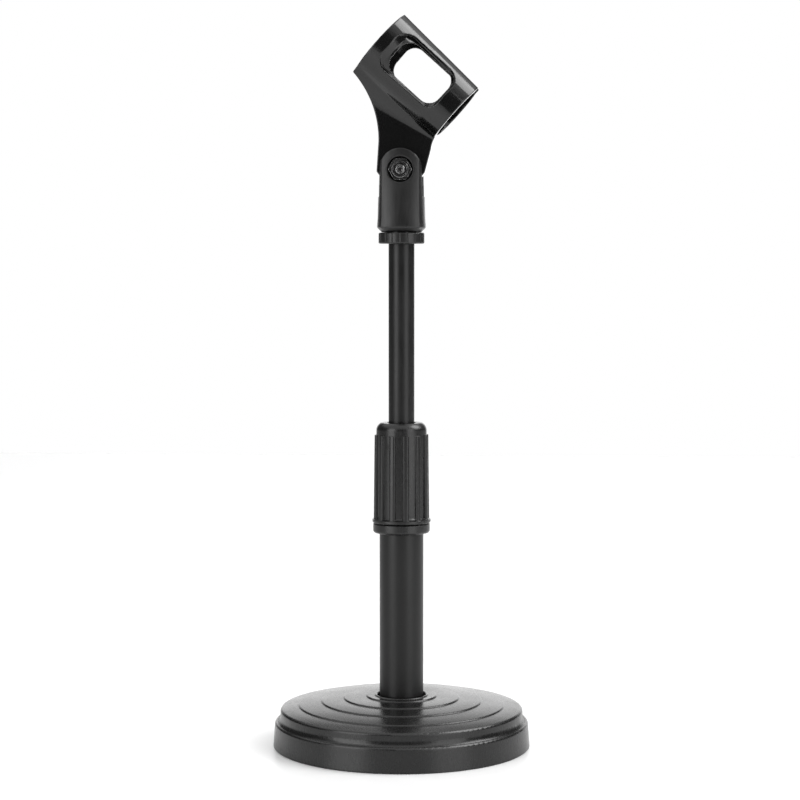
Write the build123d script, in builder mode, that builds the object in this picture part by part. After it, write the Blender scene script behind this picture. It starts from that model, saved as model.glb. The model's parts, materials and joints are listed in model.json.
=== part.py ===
from build123d import *
from math import cos, radians, sin
import os

os.makedirs("parts", exist_ok=True)

# Desktop microphone stand. Millimetres, +Z up, -Y is the front.
# The origin is the centre of the base's underside, on the table.

# ---------------------------------------------------------------- driving dimensions
# base
base_radius = 65.0            # at the foot of the outer wall
base_wall_top_radius = 64.2
base_wall_top_z = 12.6
base_clearance = 0.3          # shell's rim above the table
disc_radius = 61.4            # domed top disc
disc_edge_z = 17.9
dome_top_z = 25.8
dome_rise = 6.9
ring_count = 4                # raised rings on the dome
ring_first_radius = 17.8
ring_spacing = 11.43
ring_step = 0.6
shell_wall = 2.2
tube_hole_radius = 12.3
lip_width = 1.4
lip_height = 0.5
pad_thickness = 1.6
pad_inner_radius = 53.5
pad_outer_radius = 61.0
plate_thickness = 1.2
plate_radius = 62.2
weight_radius = 57.0
weight_edge_z = 14.4
weight_top_z = 20.0
weight_top_radius = 22.0
plate_screw_radius = 48.0     # pitch radius of the four plate screws
access_radius = 11.5          # hole under the base bolt

# tubes
lower_tube_radius = 11.1
lower_tube_bore = 9.9
lower_tube_top_z = 111.4
upper_tube_radius = 6.5
upper_tube_bore = 5.5
upper_tube_foot_z = 84.0
guide_bush_height = 7.5
guide_bush_floor = 2.0
stud_shoulder_z = 253.9

# clutch
collar_radius = 14.35
collar_bottom_z = 108.4
collar_top_z = 113.2
nose_radius = 11.2
nose_top_z = 146.0
grip_bottom_z = 113.6
grip_flange_top_z = 115.9
grip_rib_top_z = 157.3
grip_cap_top_z = 160.6
grip_top_z = 164.0
grip_flange_radius = 14.7
grip_core_radius = 12.7
grip_top_radius = 10.4
rib_radius_low = 14.15
rib_radius_high = 13.65
rib_count = 12
rib_width = 3.2
rib_phase = 13.5              # degrees from the front towards +X
running_gap = 0.07            # radial clearance of turning threads and shafts

# lock ring and yoke
stud_radius = 7.93            # 5/8 inch 27 tpi
ring_radius = 11.5
ring_bottom_z = 253.8
ring_top_z = 259.4
knurl_count = 18
yoke_bottom_z = 259.55
yoke_bottom_half = 9.9
yoke_chamfer_z = 261.9
yoke_foot_half = 12.25        # half-width just above the chamfer
yoke_waist_z = 267.0
yoke_waist_half = 11.9
yoke_bulge = 2.2              # how far each side face bows out
pivot_z = 290.6
ear_radius = 10.6
ear_half_depth = 10.9
slot_half = 5.3               # half the gap between the ears
slot_floor_z = 277.2
insert_radius = 9.1
insert_top_z = 274.9
bolt_radius = 2.5
recess_radius = 6.35
recess_depth = 3.0

# mic clip
clip_tilt = 42.2              # the tube's axis below horizontal, narrow end towards +X
clip_axis_height = 39.25      # from the pivot to the tube's axis
clip_wide_u = -49.9           # wide end, along the axis from the pivot's foot
clip_narrow_u = 1.65          # narrow end
clip_wide_radius = 19.45
clip_narrow_radius = 17.25
clip_wall = 2.9
clip_slit_half = 5.6
tongue_half = 4.7
keel_wide_angle = 48.0        # where the keel's flanks leave the tube, below horizontal
keel_narrow_angle = 69.0
neck_end_drop = 16.0          # from the axis down to the top of the neck's web past the narrow end
window_wide_u = -43.9         # ends of the windows, at the outer surface
window_narrow_u = -7.4
window_depth = 2.3            # depth of the sloping part of the window's walls
window_wide_draft = 3.4       # how far each end slopes in over that depth
window_narrow_draft = 1.0
window_top_angle = 50.5
window_bottom_angle = -28.0
window_corner = 8.0           # corner radius at the outer surface, seen from the side
opening_wide_u = -39.3        # the opening through the rest of the wall
opening_narrow_u = -8.6
opening_low_w = -7.2          # from the tube's axis
opening_high_w = 11.7
opening_corner = 6.5

# ---------------------------------------------------------------- worked out
plate_bottom_z = pad_thickness
plate_top_z = plate_bottom_z + plate_thickness
ring_radii = [ring_first_radius + ring_spacing * i for i in range(ring_count)]


def dome_z(r):
    """Height of the dome's mean surface at radius r."""
    return dome_top_z - dome_rise * (r / disc_radius) ** 2


# ---------------------------------------------------------------- base
with BuildPart() as base_shell:
    with BuildSketch(Plane.XZ):
        with BuildLine():
            shoulder = (base_wall_top_radius - 1.2, base_wall_top_z)
            cove_foot = (shoulder[0] - 0.35, base_wall_top_z - 0.25)
            cove_top = (disc_radius + 0.1, base_wall_top_z + 2.6)
            edge_top = (disc_radius - 1.3, dome_z(disc_radius - 1.3))
            Line((base_radius - shell_wall, base_clearance), (base_radius, base_clearance))
            Line((base_radius, base_clearance), (base_wall_top_radius, base_wall_top_z - 1.2))
            TangentArc(
                (base_wall_top_radius, base_wall_top_z - 1.2),
                shoulder,
                tangent=(base_wall_top_radius - base_radius, base_wall_top_z - 1.2 - base_clearance),
            )
            Line(shoulder, cove_foot)
            ThreePointArc(cove_foot, (disc_radius + 0.45, base_wall_top_z + 0.9), cove_top)
            Line(cove_top, (disc_radius, disc_edge_z))
            ThreePointArc((disc_radius, disc_edge_z), (disc_radius - 0.35, disc_edge_z + 0.75), edge_top)
            previous = edge_top
            for r in reversed(ring_radii):
                foot = (r + 0.25, dome_z(r) - ring_step / 2)
                crown = (r - 0.1, dome_z(r) + ring_step / 2 - 0.15)
                crest = (r - 0.45, dome_z(r) + ring_step / 2)
                middle_r = (previous[0] + foot[0]) / 2
                middle_z = (previous[1] + foot[1]) / 2
                ThreePointArc(previous, (middle_r, middle_z + 0.12), foot)
                Line(foot, crown)
                Line(crown, crest)
                previous = crest
            lip_foot_r = tube_hole_radius + lip_width
            Line(previous, (lip_foot_r, dome_z(lip_foot_r)))
            ThreePointArc(
                (lip_foot_r, dome_z(lip_foot_r)),
                (tube_hole_radius + lip_width / 2, dome_z(lip_foot_r) + lip_height),
                (tube_hole_radius, dome_z(lip_foot_r)),
            )
            ceiling_z = dome_z(tube_hole_radius) - shell_wall
            eave = (disc_radius - shell_wall, disc_edge_z - 1.7)
            Polyline(
                (tube_hole_radius, dome_z(lip_foot_r)),
                (tube_hole_radius, ceiling_z),
                eave,
                (eave[0], base_wall_top_z),
                (base_wall_top_radius - shell_wall, base_wall_top_z - 2.0),
                (base_wall_top_radius - shell_wall, plate_top_z),
                (base_radius - shell_wall, plate_top_z),
                (base_radius - shell_wall, base_clearance),
            )
        make_face()
    revolve(axis=Axis.Z)
    with BuildSketch(Plane.XY.offset(plate_top_z)):
        with PolarLocations(plate_screw_radius, 4, 45):
            Circle(4.0)
    extrude(amount=dome_z(plate_screw_radius) - 1.0 - plate_top_z)
    with BuildSketch(Plane.XY.offset(plate_top_z)):
        with PolarLocations(plate_screw_radius, 4, 45):
            Circle(1.5)
    extrude(amount=10.0, mode=Mode.SUBTRACT)
base_shell.part.label = "base_shell"
export_step(base_shell.part, "parts/base_shell.step")

with BuildPart() as base_weight:
    with BuildSketch(Plane.XZ):
        with BuildLine():
            Polyline(
                (4.3, 11.2),
                (access_radius, 11.2),
                (access_radius, plate_top_z),
                (weight_radius - 1.0, plate_top_z),
                (weight_radius, plate_top_z + 1.0),
                (weight_radius, weight_edge_z - 1.0),
                (weight_radius - 1.0, weight_edge_z),
                (weight_top_radius, weight_top_z),
                (4.3, weight_top_z),
                close=True,
            )
        make_face()
    revolve(axis=Axis.Z)
    with BuildSketch(Plane.XY.offset(plate_top_z)):
        with PolarLocations(plate_screw_radius, 4, 45):
            Circle(4.7)
    extrude(amount=weight_top_z, mode=Mode.SUBTRACT)
base_weight.part.label = "base_weight"
export_step(base_weight.part, "parts/base_weight.step")

with BuildPart() as base_plate:
    with BuildSketch(Plane.XY.offset(plate_bottom_z)):
        Circle(plate_radius)
        Circle(access_radius, mode=Mode.SUBTRACT)
        with PolarLocations(plate_screw_radius, 4, 45):
            Circle(1.9, mode=Mode.SUBTRACT)
    extrude(amount=plate_thickness)
    screw_holes = base_plate.faces().sort_by(Axis.Z)[0].edges().filter_by(GeomType.CIRCLE)
    chamfer([edge for edge in screw_holes if edge.radius < 2.0], length=1.1)
base_plate.part.label = "base_plate"
export_step(base_plate.part, "parts/base_plate.step")

with BuildPart() as base_pad:
    with BuildSketch(Plane.XY):
        Circle(pad_outer_radius)
        Circle(pad_inner_radius, mode=Mode.SUBTRACT)
    extrude(amount=pad_thickness)
    chamfer(base_pad.edges().group_by(Axis.Z)[0], length=0.4)
base_pad.part.label = "base_pad"
export_step(base_pad.part, "parts/base_pad.step")

with BuildPart() as base_plate_screws:
    with BuildSketch(Plane.XY.offset(plate_bottom_z)):
        with PolarLocations(plate_screw_radius, 4, 45):
            Circle(2.9)
    extrude(amount=1.1, taper=44)
    with BuildSketch(Plane.XY.offset(plate_bottom_z + 1.0)):
        with PolarLocations(plate_screw_radius, 4, 45):
            Circle(1.45)
    extrude(amount=9.0)
    with BuildSketch(Plane.XY.offset(plate_bottom_z)):
        with PolarLocations(plate_screw_radius, 4, 45):
            Rectangle(3.2, 0.7)
            Rectangle(0.7, 3.2)
    extrude(amount=0.8, mode=Mode.SUBTRACT)
base_plate_screws.part.label = "base_plate_screws"
export_step(base_plate_screws.part, "parts/base_plate_screws.step")

# ---------------------------------------------------------------- tube foot and base bolt
with BuildPart() as tube_foot_insert:
    with BuildSketch(Plane.XY.offset(weight_top_z)):
        Circle(lower_tube_bore)
        Circle(4.0, mode=Mode.SUBTRACT)
    extrude(amount=12.0)
    chamfer(tube_foot_insert.edges().group_by(Axis.Z)[-1], length=0.8)
tube_foot_insert.part.label = "tube_foot_insert"
export_step(tube_foot_insert.part, "parts/tube_foot_insert.step")

with BuildPart() as base_bolt:
    with BuildSketch(Plane.XY.offset(2.6)):
        RegularPolygon(6.5, 6, major_radius=False)
    extrude(amount=5.2)
    with BuildSketch(Plane.XY.offset(2.6)):
        Circle(6.6)
    extrude(amount=5.2, taper=-8, mode=Mode.INTERSECT)
    with BuildSketch(Plane.XY.offset(7.8)):
        Circle(4.0)
    extrude(amount=22.6)
    chamfer(base_bolt.edges().group_by(Axis.Z)[-1], length=0.8)
base_bolt.part.label = "base_bolt"
export_step(base_bolt.part, "parts/base_bolt.step")

with BuildPart() as base_flat_washer:
    with BuildSketch(Plane.XY.offset(9.7)):
        Circle(9.0)
        Circle(4.2, mode=Mode.SUBTRACT)
    extrude(amount=1.5)
base_flat_washer.part.label = "base_flat_washer"
export_step(base_flat_washer.part, "parts/base_flat_washer.step")

with BuildPart() as base_spring_washer:
    with BuildSketch(Plane.XY.offset(7.8)):
        Circle(6.5)
        Circle(4.15, mode=Mode.SUBTRACT)
        with Locations((5.3, 0)):
            Rectangle(4.0, 0.8, rotation=25, mode=Mode.SUBTRACT)
    extrude(amount=1.9)
base_spring_washer.part.label = "base_spring_washer"
export_step(base_spring_washer.part, "parts/base_spring_washer.step")

with BuildPart() as lower_tube:
    with BuildSketch(Plane.XY.offset(weight_top_z)):
        Circle(lower_tube_radius)
        Circle(lower_tube_bore, mode=Mode.SUBTRACT)
    extrude(amount=lower_tube_top_z - weight_top_z)
lower_tube.part.label = "lower_tube"
export_step(lower_tube.part, "parts/lower_tube.step")

# ---------------------------------------------------------------- clutch
seat_foot_z = nose_top_z - 11.0
seat_top_radius = 9.6
clutch_bore = upper_tube_radius + 0.4
spigot_foot_z = 104.0

with BuildPart() as clutch_body:
    with BuildSketch(Plane.XZ):
        with BuildLine():
            Polyline(
                (collar_radius, collar_bottom_z + 1.3),
                (collar_radius, collar_top_z - 0.3),
                (collar_radius - 0.3, collar_top_z),
                (nose_radius, collar_top_z),
                (nose_radius, nose_top_z - 0.6),
                (nose_radius - 0.6, nose_top_z),
                (seat_top_radius, nose_top_z),
                (clutch_bore, seat_foot_z),
                (clutch_bore, spigot_foot_z),
                (lower_tube_bore, spigot_foot_z),
                (lower_tube_bore, lower_tube_top_z),
                (lower_tube_radius, lower_tube_top_z),
                (lower_tube_radius, collar_bottom_z),
                (collar_radius - 1.3, collar_bottom_z),
            )
            TangentArc(
                (collar_radius - 1.3, collar_bottom_z),
                (collar_radius, collar_bottom_z + 1.3),
                tangent=(1, 0),
            )
        make_face()
    revolve(axis=Axis.Z)
clutch_body.part.label = "clutch_body"
export_step(clutch_body.part, "parts/clutch_body.step")

collet_top_z = nose_top_z + 3.0
with BuildPart() as clutch_collet:
    with BuildSketch(Plane.XZ):
        with BuildLine():
            Polyline(
                (upper_tube_radius + running_gap, seat_foot_z + 3.0),
                (7.55, seat_foot_z + 3.0),
                (seat_top_radius - 0.05, nose_top_z),
                (seat_top_radius - 0.05, collet_top_z),
                (upper_tube_radius + running_gap, collet_top_z),
                close=True,
            )
        make_face()
    revolve(axis=Axis.Z)
    with BuildSketch(Plane.XY.offset(seat_foot_z)):
        with Locations((10.0, 0)):
            Rectangle(20.0, 1.4)
    extrude(amount=20.0, mode=Mode.SUBTRACT)
clutch_collet.part.label = "clutch_collet"
export_step(clutch_collet.part, "parts/clutch_collet.step")

washer_bottom_z = collet_top_z + 0.05
washer_top_z = washer_bottom_z + 1.25
with BuildPart() as clutch_thrust_washer:
    with BuildSketch(Plane.XY.offset(washer_bottom_z)):
        Circle(10.8)
        Circle(clutch_bore, mode=Mode.SUBTRACT)
    extrude(amount=washer_top_z - washer_bottom_z)
clutch_thrust_washer.part.label = "clutch_thrust_washer"
export_step(clutch_thrust_washer.part, "parts/clutch_thrust_washer.step")


def rib_plane(z):
    """Horizontal plane at height z, turned so that one rib lies at the rib phase."""
    return Plane(origin=(0, 0, z), x_dir=(sin(radians(rib_phase)), -cos(radians(rib_phase)), 0), z_dir=(0, 0, 1))


def rib_section(z, rib_radius):
    """One rib's section: a rounded bar that stands out of the grip's core."""
    with BuildSketch(rib_plane(z)) as section:
        with Locations((rib_radius - 2.0, 0)):
            RectangleRounded(4.0, rib_width, 1.1)
    return section.sketch


with BuildPart() as grip_rib:
    add(rib_section(grip_flange_top_z - 1.0, rib_radius_low))
    add(rib_section(grip_rib_top_z + 0.6, rib_radius_high))
    loft()

with BuildPart() as clutch_grip:
    with BuildSketch(Plane.XZ):
        with BuildLine():
            bore = upper_tube_radius + 0.5
            Polyline(
                (nose_radius + running_gap, grip_bottom_z),
                (grip_flange_radius - 0.4, grip_bottom_z),
                (grip_flange_radius, grip_bottom_z + 0.4),
                (grip_flange_radius, grip_flange_top_z - 0.7),
                (grip_core_radius + 0.6, grip_flange_top_z),
                (grip_core_radius + 0.05, grip_flange_top_z + 0.8),
                (grip_core_radius, grip_cap_top_z),
            )
            ThreePointArc(
                (grip_core_radius, grip_cap_top_z),
                (grip_core_radius - 0.75, grip_cap_top_z + 1.95),
                (grip_top_radius, grip_top_z),
            )
            Polyline(
                (grip_top_radius, grip_top_z),
                (bore + 0.5, grip_top_z),
                (bore, grip_top_z - 0.5),
                (bore, washer_top_z + 0.05),
                (nose_radius + running_gap, washer_top_z + 0.05),
                (nose_radius + running_gap, grip_bottom_z),
            )
        make_face()
    revolve(axis=Axis.Z)
    with PolarLocations(0, rib_count):
        add(grip_rib.part)
    with BuildSketch(Plane.XY.offset(grip_bottom_z)):
        Circle(nose_radius + running_gap)
    extrude(amount=washer_top_z + 0.05 - grip_bottom_z, mode=Mode.SUBTRACT)
clutch_grip.part.label = "clutch_grip"
export_step(clutch_grip.part, "parts/clutch_grip.step")

# ---------------------------------------------------------------- upper tube
with BuildPart() as upper_tube:
    with BuildSketch(Plane.XY.offset(upper_tube_foot_z)):
        Circle(upper_tube_radius)
        Circle(upper_tube_bore, mode=Mode.SUBTRACT)
    extrude(amount=stud_shoulder_z - upper_tube_foot_z)
upper_tube.part.label = "upper_tube"
export_step(upper_tube.part, "parts/upper_tube.step")

with BuildPart() as tube_guide_bush:
    with BuildSketch(Plane.XY.offset(upper_tube_foot_z - guide_bush_floor)):
        Circle(lower_tube_bore - 0.3)
        Circle(4.5, mode=Mode.SUBTRACT)
    extrude(amount=guide_bush_height)
    with BuildSketch(Plane.XY.offset(upper_tube_foot_z)):
        Circle(upper_tube_radius)
    extrude(amount=guide_bush_height, mode=Mode.SUBTRACT)
    chamfer(tube_guide_bush.edges().group_by(Axis.Z)[0].sort_by(SortBy.RADIUS)[-1], length=0.8)
tube_guide_bush.part.label = "tube_guide_bush"
export_step(tube_guide_bush.part, "parts/tube_guide_bush.step")

with BuildPart() as threaded_stud:
    with BuildSketch(Plane.XY.offset(stud_shoulder_z - 18.0)):
        Circle(upper_tube_bore)
    extrude(amount=18.0)
    with BuildSketch(Plane.XY.offset(stud_shoulder_z)):
        Circle(stud_radius)
    extrude(amount=insert_top_z - 0.4 - stud_shoulder_z)
    chamfer(threaded_stud.edges().group_by(Axis.Z)[-1], length=1.0)
threaded_stud.part.label = "threaded_stud"
export_step(threaded_stud.part, "parts/threaded_stud.step")

with BuildPart() as lock_ring:
    with BuildSketch(Plane.XY.offset(ring_bottom_z)):
        Circle(ring_radius)
        Circle(stud_radius + running_gap, mode=Mode.SUBTRACT)
    extrude(amount=ring_top_z - ring_bottom_z)
    fillet(lock_ring.edges().filter_by(GeomType.CIRCLE).group_by(SortBy.RADIUS)[-1], radius=0.8)
    with BuildSketch(Plane.XY.offset(ring_bottom_z - 0.5)):
        with PolarLocations(ring_radius + 0.2, knurl_count, 10):
            Circle(0.45)
    extrude(amount=ring_top_z - ring_bottom_z + 1.0, mode=Mode.SUBTRACT)
lock_ring.part.label = "lock_ring"
export_step(lock_ring.part, "parts/lock_ring.step")

# ---------------------------------------------------------------- swivel yoke
def bulged_square(z, half, bulge, corner):
    """Square section with slightly convex sides and rounded corners."""
    with BuildSketch(Plane.XY.offset(z)) as section:
        with BuildLine():
            inner = half - bulge
            corners = [(inner, -inner), (inner, inner), (-inner, inner), (-inner, -inner)]
            middles = [(half, 0), (0, half), (-half, 0), (0, -half)]
            for index, middle in enumerate(middles):
                ThreePointArc(corners[index], middle, corners[(index + 1) % 4])
        make_face()
        fillet(section.vertices(), radius=corner)
    return section.sketch


with BuildPart() as swivel_yoke:
    add(bulged_square(yoke_chamfer_z, yoke_foot_half, yoke_bulge, 1.4))
    add(bulged_square(yoke_waist_z, yoke_waist_half, yoke_bulge, 1.4))
    loft()
    add(bulged_square(yoke_waist_z, yoke_waist_half, yoke_bulge, 1.4))
    add(bulged_square(pivot_z + ear_radius + 1.0, ear_half_depth, 0.6 * yoke_bulge, 1.4))
    loft()
    add(bulged_square(yoke_bottom_z, yoke_bottom_half, yoke_bulge, 1.4))
    add(bulged_square(yoke_chamfer_z, yoke_foot_half, yoke_bulge, 1.4))
    loft()
    with BuildSketch(Plane.XZ):
        with BuildLine():
            Line((-14, yoke_bottom_z - 1), (14, yoke_bottom_z - 1))
            Line((14, yoke_bottom_z - 1), (ear_radius + 0.6, pivot_z - 6.0))
            Line((ear_radius + 0.6, pivot_z - 6.0), (ear_radius, pivot_z))
            ThreePointArc((ear_radius, pivot_z), (0, pivot_z + ear_radius), (-ear_radius, pivot_z))
            Line((-ear_radius, pivot_z), (-ear_radius - 0.6, pivot_z - 6.0))
            Line((-ear_radius - 0.6, pivot_z - 6.0), (-14, yoke_bottom_z - 1))
        make_face()
    extrude(amount=20.0, both=True, mode=Mode.INTERSECT)
    with BuildSketch(Plane.XZ):
        with Locations((0, (slot_floor_z + pivot_z + 20.0) / 2)):
            Rectangle(40.0, pivot_z + 20.0 - slot_floor_z)
    extrude(amount=slot_half, both=True, mode=Mode.SUBTRACT)
    with BuildSketch(Plane.XY.offset(yoke_bottom_z)):
        Circle(insert_radius)
    extrude(amount=insert_top_z + 0.3 - yoke_bottom_z, mode=Mode.SUBTRACT)
    for side in (-1, 1):
        with BuildSketch(Plane.XZ.offset(side * (ear_half_depth - recess_depth))):
            with Locations((0, pivot_z)):
                Circle(recess_radius)
        extrude(amount=side * 6.0, mode=Mode.SUBTRACT)
    with BuildSketch(Plane.XZ):
        with Locations((0, pivot_z)):
            Circle(bolt_radius + 0.05)
    extrude(amount=20.0, both=True, mode=Mode.SUBTRACT)
swivel_yoke.part.label = "swivel_yoke"
export_step(swivel_yoke.part, "parts/swivel_yoke.step")

with BuildPart() as yoke_thread_insert:
    with BuildSketch(Plane.XY.offset(yoke_bottom_z + 0.3)):
        Circle(insert_radius)
        Circle(stud_radius + running_gap, mode=Mode.SUBTRACT)
    extrude(amount=insert_top_z - yoke_bottom_z - 0.3)
yoke_thread_insert.part.label = "yoke_thread_insert"
export_step(yoke_thread_insert.part, "parts/yoke_thread_insert.step")

# ---------------------------------------------------------------- pivot hardware
seat_y = ear_half_depth - recess_depth
nut_half_flats = 5.2
nut_height = 2.4
nut_collar_radius = 4.3
with BuildPart() as pivot_bolt:
    with BuildSketch(Plane.XZ.offset(seat_y + 4.3)):
        with Locations((0, pivot_z)):
            Circle(bolt_radius)
    extrude(amount=-2 * seat_y - 4.3)
    chamfer(pivot_bolt.edges().group_by(Axis.Y)[0], length=0.35)
    with BuildSketch(Plane.XZ.offset(-seat_y)):
        with Locations((0, pivot_z)):
            Circle(4.8)
    extrude(amount=-3.0)
    fillet(pivot_bolt.edges().group_by(Axis.Y)[-1], radius=1.0)
    with BuildSketch(Plane.XZ.offset(-seat_y - 3.0)):
        with Locations((0, pivot_z)):
            RegularPolygon(1.6, 6, major_radius=False)
    extrude(amount=1.9, mode=Mode.SUBTRACT)
    with BuildSketch(Plane.XZ.offset(seat_y + 4.3)):
        with Locations((0, pivot_z)):
            Circle(1.7)
    extrude(amount=-0.9, taper=30, mode=Mode.SUBTRACT)
pivot_bolt.part.label = "pivot_bolt"
export_step(pivot_bolt.part, "parts/pivot_bolt.step")

with BuildPart() as pivot_nut:
    with BuildSketch(Plane.XZ.offset(seat_y)):
        with Locations((0, pivot_z)):
            RegularPolygon(nut_half_flats, 6, major_radius=False)
    extrude(amount=nut_height)
    with BuildSketch(Plane.XZ.offset(seat_y)):
        with Locations((0, pivot_z)):
            Circle(nut_half_flats + 2.3)
    extrude(amount=nut_height, taper=35, mode=Mode.INTERSECT)
    with BuildSketch(Plane.XZ.offset(seat_y + nut_height)):
        with Locations((0, pivot_z)):
            Circle(nut_collar_radius)
    extrude(amount=0.9)
    fillet(pivot_nut.edges().group_by(Axis.Y)[0], radius=0.4)
    with BuildSketch(Plane.XZ.offset(seat_y + nut_height)):
        with Locations((0, pivot_z)):
            Circle(nut_collar_radius + 0.45)
            Circle(nut_collar_radius, mode=Mode.SUBTRACT)
    extrude(amount=-0.6, mode=Mode.SUBTRACT)
    with BuildSketch(Plane.XZ.offset(seat_y)):
        with Locations((0, pivot_z)):
            Circle(bolt_radius)
    extrude(amount=6.0, mode=Mode.SUBTRACT)
    with BuildSketch(Plane.XZ.offset(seat_y + nut_height + 0.9)):
        with Locations((0, pivot_z)):
            Circle(bolt_radius + 0.7)
    extrude(amount=-1.5, mode=Mode.SUBTRACT)
pivot_nut.part.label = "pivot_nut"
export_step(pivot_nut.part, "parts/pivot_nut.step")

with BuildPart() as pivot_washers:
    for side in (-1, 1):
        with BuildSketch(Plane.XZ.offset(side * (tongue_half + 0.05))):
            with Locations((0, pivot_z)):
                Circle(8.0)
                Circle(bolt_radius + 0.05, mode=Mode.SUBTRACT)
        extrude(amount=side * (slot_half - tongue_half - 0.1))
pivot_washers.part.label = "pivot_washers"
export_step(pivot_washers.part, "parts/pivot_washers.step")

# ---------------------------------------------------------------- mic clip
# The clip has its own axes: u along the tube towards the narrow end, w away from the pivot.
along = Vector(cos(radians(clip_tilt)), 0, -sin(radians(clip_tilt)))
away = Vector(sin(radians(clip_tilt)), 0, cos(radians(clip_tilt)))
pivot = Vector(0, 0, pivot_z)
axis_foot = pivot + away * clip_axis_height
side_plane = Plane(origin=pivot, x_dir=along, z_dir=(0, -1, 0))
clip_middle_u = (clip_wide_u + clip_narrow_u) / 2
clip_length = clip_narrow_u - clip_wide_u


def clip_radius(u):
    """Outer radius of the tapered tube at u."""
    return clip_wide_radius + (clip_narrow_radius - clip_wide_radius) * (u - clip_wide_u) / clip_length


def clip_point(u, w):
    """Point of the clip's middle plane, in the X and Z of the pivot."""
    point = along * u + away * w
    return (point.X, point.Z)


def keel_section(u, angle):
    """Section of the keel under the tube: flanks that curve from the tube into the neck's parallel faces."""
    tube_r = clip_radius(u) - 0.15
    cove_r = (tube_r * cos(radians(angle)) - tongue_half) / (1 - cos(radians(angle)))
    flank = (tube_r * cos(radians(angle)), -tube_r * sin(radians(angle)))
    cove_foot_z = -(tube_r + cove_r) * sin(radians(angle))
    neck_end_z = -clip_axis_height - 15.0
    plane = Plane(origin=axis_foot + along * u, x_dir=(0, 1, 0), z_dir=along)
    with BuildSketch(plane) as section:
        with BuildLine():
            TangentArc((tongue_half, cove_foot_z), flank, tangent=(0, 1))
            Line(flank, (-flank[0], flank[1]))
            TangentArc((-tongue_half, cove_foot_z), (-flank[0], flank[1]), tangent=(0, 1))
            Polyline(
                (-tongue_half, cove_foot_z),
                (-tongue_half, neck_end_z),
                (tongue_half, neck_end_z),
                (tongue_half, cove_foot_z),
            )
        make_face()
    return section.sketch


with BuildPart() as clip_keel:
    add(keel_section(clip_wide_u, keel_wide_angle))
    add(keel_section(clip_narrow_u, keel_narrow_angle))
    loft(ruled=True)
    with BuildSketch(Plane(origin=axis_foot + along * clip_narrow_u, x_dir=(0, 1, 0), z_dir=along)):
        with Locations((0, -neck_end_drop)):
            Rectangle(2 * tongue_half, 40.0, align=(Align.CENTER, Align.MAX))
    extrude(amount=14.0)
    with BuildSketch(Plane(origin=pivot, x_dir=(1, 0, 0), z_dir=(0, -1, 0))):
        with BuildLine():
            wide_foot = clip_point(clip_wide_u, clip_axis_height - clip_wide_radius)
            ThreePointArc(wide_foot, (-14.7, 33.3), (-11.2, 14.5))
            Polyline((-11.2, 14.5), (-12.2, -0.9), (-8.2, -6.2))
            ThreePointArc((-8.2, -6.2), (0, -10.28), (8.2, -6.2))
            Polyline((8.2, -6.2), (11.9, -1.4), (14.9, 9.9))
            ThreePointArc((14.9, 9.9), (16.4, 15.0), clip_point(clip_narrow_u, 26.8))
            Polyline(
                clip_point(clip_narrow_u, 26.8),
                clip_point(clip_narrow_u, clip_axis_height),
                clip_point(clip_wide_u, clip_axis_height),
                wide_foot,
            )
        make_face()
    extrude(amount=30.0, both=True, mode=Mode.INTERSECT)

with BuildPart() as clip_window:
    low = Vector(0, -cos(radians(window_bottom_angle)), 0) + away * sin(radians(window_bottom_angle))
    with BuildSketch(Plane(origin=axis_foot, x_dir=along, z_dir=along.cross(low))):
        with BuildLine():
            wide_slope = window_wide_draft / window_depth
            narrow_slope = window_narrow_draft / window_depth
            Polyline(
                (window_wide_u - 2.0 * wide_slope, clip_radius(window_wide_u) + 2.0),
                (window_narrow_u + 2.0 * narrow_slope, clip_radius(window_narrow_u) + 2.0),
                (window_narrow_u - window_narrow_draft, clip_radius(window_narrow_u) - window_depth),
                (window_wide_u + window_wide_draft, clip_radius(window_wide_u) - window_depth),
                close=True,
            )
        make_face()
    revolve(axis=Axis(axis_foot, along * -1), revolution_arc=window_top_angle - window_bottom_angle)
    window_low_w = clip_radius(window_wide_u) * sin(radians(window_bottom_angle))
    window_high_w = clip_radius(window_narrow_u) * sin(radians(window_top_angle))
    window_middle = (
        (window_wide_u + window_narrow_u) / 2,
        clip_axis_height + (window_low_w + window_high_w) / 2,
    )
    with BuildSketch(side_plane):
        with Locations(window_middle):
            RectangleRounded(
                window_narrow_u - window_wide_u + 0.6,
                window_high_w - window_low_w + 0.4,
                window_corner,
            )
    extrude(amount=30.0, mode=Mode.INTERSECT)
    opening_middle = (
        (opening_wide_u + opening_narrow_u) / 2,
        clip_axis_height + (opening_low_w + opening_high_w) / 2,
    )
    with BuildSketch(side_plane.offset(2.0)):
        with Locations(opening_middle):
            RectangleRounded(
                opening_narrow_u - opening_wide_u,
                opening_high_w - opening_low_w,
                opening_corner,
            )
    extrude(amount=24.0)

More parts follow.
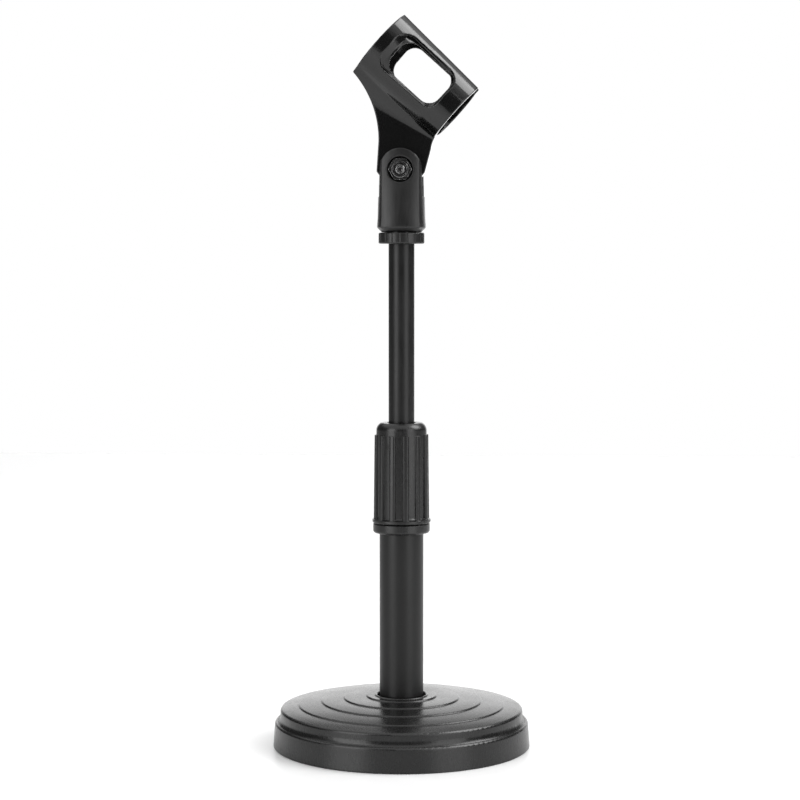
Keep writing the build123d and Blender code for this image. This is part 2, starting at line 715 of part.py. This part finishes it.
with BuildPart() as mic_clip:
    add(clip_keel.part)
    with BuildSketch(side_plane):
        with BuildLine():
            Polyline(
                (clip_wide_u, clip_axis_height),
                (clip_wide_u, clip_axis_height + clip_wide_radius),
                (clip_narrow_u, clip_axis_height + clip_narrow_radius),
                (clip_narrow_u, clip_axis_height),
                close=True,
            )
        make_face()
    revolve(axis=Axis(axis_foot, along))
    with BuildSketch(side_plane):
        with BuildLine():
            Polyline(
                (clip_wide_u - 1, clip_axis_height),
                (clip_wide_u - 1, clip_axis_height + clip_radius(clip_wide_u - 1) - clip_wall),
                (clip_narrow_u + 1, clip_axis_height + clip_radius(clip_narrow_u + 1) - clip_wall),
                (clip_narrow_u + 1, clip_axis_height),
                close=True,
            )
        make_face()
    revolve(axis=Axis(axis_foot, along), mode=Mode.SUBTRACT)
    add(clip_window.part, mode=Mode.SUBTRACT)
    add(clip_window.part.mirror(Plane.XZ), mode=Mode.SUBTRACT)
    with BuildSketch(side_plane):
        with Locations((clip_middle_u, clip_axis_height + 20.0)):
            Rectangle(clip_length + 10.0, 24.0)
    extrude(amount=clip_slit_half, both=True, mode=Mode.SUBTRACT)
    with BuildSketch(Plane.XZ):
        with Locations((0, pivot_z)):
            Circle(bolt_radius + running_gap)
    extrude(amount=20.0, both=True, mode=Mode.SUBTRACT)
mic_clip.part.label = "mic_clip"
export_step(mic_clip.part, "parts/mic_clip.step")
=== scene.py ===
import bpy
import json
from math import cos, radians, sin
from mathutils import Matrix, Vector

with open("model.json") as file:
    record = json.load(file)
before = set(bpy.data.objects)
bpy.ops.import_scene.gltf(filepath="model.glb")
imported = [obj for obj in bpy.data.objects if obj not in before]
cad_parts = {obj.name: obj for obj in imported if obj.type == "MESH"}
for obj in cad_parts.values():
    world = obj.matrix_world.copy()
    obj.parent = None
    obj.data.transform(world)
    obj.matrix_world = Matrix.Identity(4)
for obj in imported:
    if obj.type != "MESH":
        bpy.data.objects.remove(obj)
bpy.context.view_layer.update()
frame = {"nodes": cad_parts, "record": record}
nodes = frame["nodes"]
scene = bpy.context.scene


# ---------------------------------------------------------------- node helpers
class Tree:
    """A small wrapper that adds and joins shader nodes."""

    def __init__(self, tree):
        self.tree = tree
        self.x = 0

    def add(self, kind, inputs=None, **settings):
        node = self.tree.nodes.new(kind)
        self.x -= 180
        node.location = (self.x, -40 * (len(self.tree.nodes) % 9))
        for key, value in settings.items():
            setattr(node, key, value)
        for key, value in (inputs or {}).items():
            if isinstance(value, bpy.types.NodeSocket):
                self.tree.links.new(value, node.inputs[key])
            else:
                node.inputs[key].default_value = value
        return node

    def noise(self, vector, scale, detail, rough):
        """Noise of the given cells per metre, 0 to 1."""
        inputs = {"Vector": vector, "Scale": scale, "Detail": detail, "Roughness": rough}
        return self.add("ShaderNodeTexNoise", inputs).outputs["Fac"]

    def span(self, value, low, high, to_low, to_high):
        """Maps low..high to to_low..to_high, clamped."""
        inputs = {"Value": value, "From Min": low, "From Max": high}
        inputs.update({"To Min": to_low, "To Max": to_high})
        return self.add("ShaderNodeMapRange", inputs).outputs["Result"]

    def math(self, operation, a, b):
        node = self.tree.nodes.new("ShaderNodeMath")
        node.operation = operation
        for index, value in enumerate((a, b)):
            if isinstance(value, bpy.types.NodeSocket):
                self.tree.links.new(value, node.inputs[index])
            else:
                node.inputs[index].default_value = value
        return node.outputs[0]

    def mix(self, factor, a, b):
        """Mixes two colours."""
        node = self.tree.nodes.new("ShaderNodeMix")
        node.data_type = "RGBA"
        for index, value in ((0, factor), (6, a), (7, b)):
            if isinstance(value, bpy.types.NodeSocket):
                self.tree.links.new(value, node.inputs[index])
            else:
                node.inputs[index].default_value = value
        return node.outputs[2]


def grey(value, tint=0.0):
    """A neutral colour, a little blue where tint is positive."""
    return (value * (1 - tint), value, value * (1 + tint), 1.0)


def edge_mask(t, radius, noise):
    """A noisy mask that is 1 along edges and 0 on open faces, and a normal that rounds the edges."""
    soft = t.add("ShaderNodeBevel", {"Radius": radius}, samples=4).outputs["Normal"]
    face = t.add("ShaderNodeNewGeometry").outputs["Normal"]
    dot = t.add("ShaderNodeVectorMath", {0: soft, 1: face}, operation="DOT_PRODUCT").outputs["Value"]
    mask = t.span(dot, 0.995, 0.90, 0.0, 1.0)
    # The noisy edge band takes the edge colour: worn edges, and on black_steel a painted highlight.
    worn_and_highlit_edges = t.math("MULTIPLY", mask, noise)
    worn_and_highlit_edges.node.use_clamp = True
    return worn_and_highlit_edges, soft


def surface(
    name,
    dark,
    light,
    rough,
    rough_spread=0.06,
    metallic=0.0,
    specular=0.5,
    grain=4000.0,
    grain_depth=0.00002,
    grain_strength=0.25,
    brushed=None,
    wear_and_highlight=None,
    wear_and_highlight_colour=None,
    edge_radius=0.0005,
):
    """A moulded, painted or metal surface: mottled colour, patchy roughness, fine grain and a recoloured
    band along the edges, which is worn edges on most materials and a painted highlight along the rims on
    black_steel.

    grain is in cells per metre, grain_depth and edge_radius in metres. brushed stretches the streaks.
    """
    material = bpy.data.materials.new(name)
    material.use_nodes = True
    t = Tree(material.node_tree)
    shader = material.node_tree.nodes["Principled BSDF"]
    shader.inputs["Metallic"].default_value = metallic
    shader.inputs["Specular IOR Level"].default_value = specular
    where = t.add("ShaderNodeTexCoord").outputs["Object"]
    patches = t.noise(where, 55.0, 4.0, 0.55)
    flecks = t.noise(where, grain * 0.35, 2.0, 0.6)
    mottle = t.math("ADD", t.math("MULTIPLY", patches, 0.6), t.math("MULTIPLY", flecks, 0.4))
    blend = t.span(mottle, 0.35, 0.65, 0.0, 1.0)
    colour = t.mix(blend, dark, light)
    stretch = brushed or (900.0, 900.0, 90.0)
    along = t.add("ShaderNodeMapping", {"Vector": where, "Scale": stretch}).outputs["Vector"]
    streaks = t.noise(along, 1.0, 3.0, 0.6)
    rough_patch = t.span(patches, 0.3, 0.7, rough - rough_spread, rough + rough_spread)
    roughness = t.math("ADD", rough_patch, t.span(streaks, 0.35, 0.7, -0.03, 0.05))
    # Edges take the edge colour: real wear on most materials, a painted highlight along the rims on
    # black_steel.
    if wear_and_highlight is not None:
        broken = t.span(t.noise(where, 700.0, 4.0, 0.7), 0.45, 0.7, 0.0, wear_and_highlight)
        mask, rounded = edge_mask(t, edge_radius, broken)
        colour = t.mix(mask, colour, wear_and_highlight_colour)
        roughness = t.math("SUBTRACT", roughness, t.math("MULTIPLY", mask, 0.1))
    material.node_tree.links.new(colour, shader.inputs["Base Color"])
    material.node_tree.links.new(roughness, shader.inputs["Roughness"])
    fine = t.noise(where, grain, 2.0, 0.5)
    height = t.math("ADD", fine, t.math("MULTIPLY", streaks, 0.35 if brushed else 0.15))
    relief = {"Height": height, "Strength": grain_strength, "Distance": grain_depth}
    if wear_and_highlight is not None:
        relief["Normal"] = rounded
    bump = t.add("ShaderNodeBump", relief)
    material.node_tree.links.new(bump.outputs["Normal"], shader.inputs["Normal"])
    return material


# ---------------------------------------------------------------- materials, one for each slot of the record
MATERIALS = {
    "base_plastic": surface(
        "base_plastic", grey(0.0035), grey(0.0065), 0.26, 0.03, grain=5000, grain_strength=0.10,
        wear_and_highlight=0.5, wear_and_highlight_colour=grey(0.02), edge_radius=0.0006,
    ),
    "cast_iron": surface(
        "cast_iron", grey(0.05), grey(0.12), 0.72, 0.1, metallic=0.6, grain=1800, grain_depth=0.00015,
        grain_strength=0.7, wear_and_highlight=0.6, wear_and_highlight_colour=(0.16, 0.10, 0.06, 1.0),
    ),
    "plate_coat": surface(
        "plate_coat", grey(0.018), grey(0.03), 0.48, 0.08, grain=2600, grain_depth=0.00006,
        grain_strength=0.5, wear_and_highlight=0.8, wear_and_highlight_colour=grey(0.25),
    ),
    "rubber": surface(
        "rubber", grey(0.012), grey(0.024), 0.82, 0.07, specular=0.35, grain=3000, grain_depth=0.00006,
        grain_strength=0.6, wear_and_highlight=0.4, wear_and_highlight_colour=grey(0.06),
    ),
    "zinc_steel": surface(
        "zinc_steel", (0.50, 0.50, 0.51, 1), (0.66, 0.66, 0.66, 1), 0.34, 0.08, metallic=1.0, grain=2400,
        grain_depth=0.00003, wear_and_highlight=0.8, wear_and_highlight_colour=grey(0.78),
    ),
    "plain_steel": surface(
        "plain_steel", grey(0.36), grey(0.52), 0.30, 0.07, metallic=1.0, grain=2400, grain_depth=0.00003,
        brushed=(300.0, 300.0, 9000.0), wear_and_highlight=0.8, wear_and_highlight_colour=grey(0.7),
    ),
    "tube_coat": surface(
        "tube_coat", grey(0.0045), grey(0.008), 0.34, 0.03, specular=0.36, grain=3600, grain_strength=0.20,
        wear_and_highlight=0.6, wear_and_highlight_colour=grey(0.20), edge_radius=0.0004,
    ),
    "clutch_plastic": surface(
        "clutch_plastic", grey(0.0035), grey(0.006), 0.28, 0.04, grain=5200, grain_strength=0.14,
        wear_and_highlight=0.6, wear_and_highlight_colour=grey(0.02), edge_radius=0.0004,
    ),
    "nylon": surface(
        "nylon", (0.66, 0.65, 0.60, 1), (0.78, 0.77, 0.73, 1), 0.5, 0.08, grain=2600, grain_strength=0.3,
        wear_and_highlight=0.4, wear_and_highlight_colour=grey(0.5),
    ),
    "ring_plastic": surface(
        "ring_plastic", grey(0.006), grey(0.010), 0.32, 0.05, grain=5200, grain_strength=0.25,
        wear_and_highlight=0.7, wear_and_highlight_colour=grey(0.03), edge_radius=0.0003,
    ),
    "yoke_plastic": surface(
        "yoke_plastic", grey(0.005), grey(0.008), 0.36, 0.04, grain=4200, grain_depth=0.00003,
        grain_strength=0.35, wear_and_highlight=0.5, wear_and_highlight_colour=grey(0.03), edge_radius=0.0005,
    ),
    "brass": surface(
        "brass", (0.60, 0.43, 0.17, 1), (0.76, 0.58, 0.27, 1), 0.28, 0.07, metallic=1.0, grain=2600,
        brushed=(300.0, 300.0, 9000.0), wear_and_highlight=0.7, wear_and_highlight_colour=(0.85, 0.70, 0.40, 1),
    ),
    # black_steel: its bright edge colour, spread over nearly every edge, is a painted highlight along the
    # rims of the nut and bolt, not wear.
    "black_steel": surface(
        "black_steel", grey(0.07), grey(0.12), 0.20, 0.04, metallic=1.0, grain=3000,
        grain_depth=0.00002, wear_and_highlight=3.0, wear_and_highlight_colour=grey(0.55), edge_radius=0.0004,
    ),
    "clip_plastic": surface(
        "clip_plastic", grey(0.0025), grey(0.0045), 0.13, 0.025, grain=6000, grain_depth=0.00001,
        grain_strength=0.12, wear_and_highlight=0.4, wear_and_highlight_colour=grey(0.015), edge_radius=0.0004,
    ),
}

for part in frame["record"]["subparts"]:
    data = nodes[part["node"]].data
    data.materials.clear()
    data.materials.append(MATERIALS[part["material_slot"]])


# ---------------------------------------------------------------- moulded edges
def round_moulding(name, voxel, passes):
    """Rounds a moulded part's edges and inner corners by a little more than the voxel size."""
    node = nodes[name]
    remesh = node.modifiers.new("even_mesh", "REMESH")
    remesh.mode = "VOXEL"
    remesh.voxel_size = voxel
    remesh.use_smooth_shade = True
    relax = node.modifiers.new("rounded_edges", "SMOOTH")
    relax.factor = 0.5
    relax.iterations = passes


round_moulding("mic_clip", 0.0003, 5)
round_moulding("swivel_yoke", 0.00035, 5)


# ---------------------------------------------------------------- camera
def make_camera():
    """Stands in front and a little to the object's right, level with the top of the upper tube."""
    azimuth = radians(4.0)
    distance = 1.075
    height = 0.2462
    pitch_down = radians(3.7697)
    turn_left = radians(0.0402)
    data = bpy.data.cameras.new("camera")
    data.sensor_width = 36.0
    data.lens = 96.3
    data.clip_start = 0.05
    camera = bpy.data.objects.new("camera", data)
    scene.collection.objects.link(camera)
    camera.location = (distance * sin(azimuth), -distance * cos(azimuth), height)
    camera.rotation_euler = (radians(90) - pitch_down, 0, azimuth + turn_left)
    scene.camera = camera


make_camera()


# ---------------------------------------------------------------- studio
def softbox(name, azimuth, elevation, width, height, power):
    """A rectangular soft light aimed at the stand's middle; azimuth 0 is the front, positive towards +X."""
    distance = 1.5
    data = bpy.data.lights.new(name, "AREA")
    data.shape = "RECTANGLE"
    data.size = width
    data.size_y = height
    data.energy = power
    light = bpy.data.objects.new(name, data)
    scene.collection.objects.link(light)
    a, e = radians(azimuth), radians(elevation)
    target = Vector((0, 0, 0.16))
    light.location = target + distance * Vector((sin(a) * cos(e), -cos(a) * cos(e), sin(e)))
    light.rotation_euler = (target - light.location).to_track_quat("-Z", "Y").to_euler()
    light.visible_camera = False


softbox("softbox_left", azimuth=-44, elevation=12, width=0.9, height=1.3, power=11.0)
softbox("softbox_right", azimuth=48, elevation=12, width=0.9, height=1.3, power=8.0)
softbox("softbox_high", azimuth=94, elevation=44, width=0.9, height=0.9, power=15.0)

# The world is white where the camera sees it. For reflections it glows low behind the stand and overhead.
glow_strength = 1.75
overhead_strength = 1.1
room_strength = 0.10
world = bpy.data.worlds.new("studio")
world.use_nodes = True
scene.world = world
w = Tree(world.node_tree)
direction = w.add("ShaderNodeTexCoord").outputs["Generated"]
toward = w.add("ShaderNodeSeparateXYZ", {"Vector": direction})
behind = w.span(toward.outputs["Y"], 0.86, 0.95, 0.0, 1.0)
level = w.span(toward.outputs["Z"], 0.55, 0.75, 1.0, 0.0)
glow = w.math("MULTIPLY", w.math("MULTIPLY", behind, level), glow_strength)
overhead = w.span(toward.outputs["Z"], 0.5, 0.7, 0.0, overhead_strength)
lit = w.math("ADD", w.math("ADD", glow, overhead), room_strength)
room = world.node_tree.nodes["Background"]
world.node_tree.links.new(lit, room.inputs["Strength"])
room.inputs["Color"].default_value = (1, 1, 1, 1)
seen = w.add("ShaderNodeBackground", {"Color": (1, 1, 1, 1), "Strength": 1.0})
camera_ray = w.add("ShaderNodeLightPath").outputs["Is Camera Ray"]
seen_by = w.add("ShaderNodeMixShader", {"Fac": camera_ray, 1: room.outputs[0], 2: seen.outputs[0]})
output = world.node_tree.nodes["World Output"]
world.node_tree.links.new(seen_by.outputs[0], output.inputs["Surface"])

floor_half = 1.6
corners = [(x * floor_half, y * floor_half, 0) for x, y in ((-1, -1), (1, -1), (1, 1), (-1, 1))]
floor_mesh = bpy.data.meshes.new("floor")
floor_mesh.from_pydata(corners, [], [(0, 1, 2, 3)])
floor = bpy.data.objects.new("floor", floor_mesh)
scene.collection.objects.link(floor)
floor_mesh.materials.append(
    surface("floor", grey(0.86), grey(0.88), 0.35, 0.02, specular=0.3, grain=600, grain_strength=0.02)
)

scene.view_settings.view_transform = "Standard"
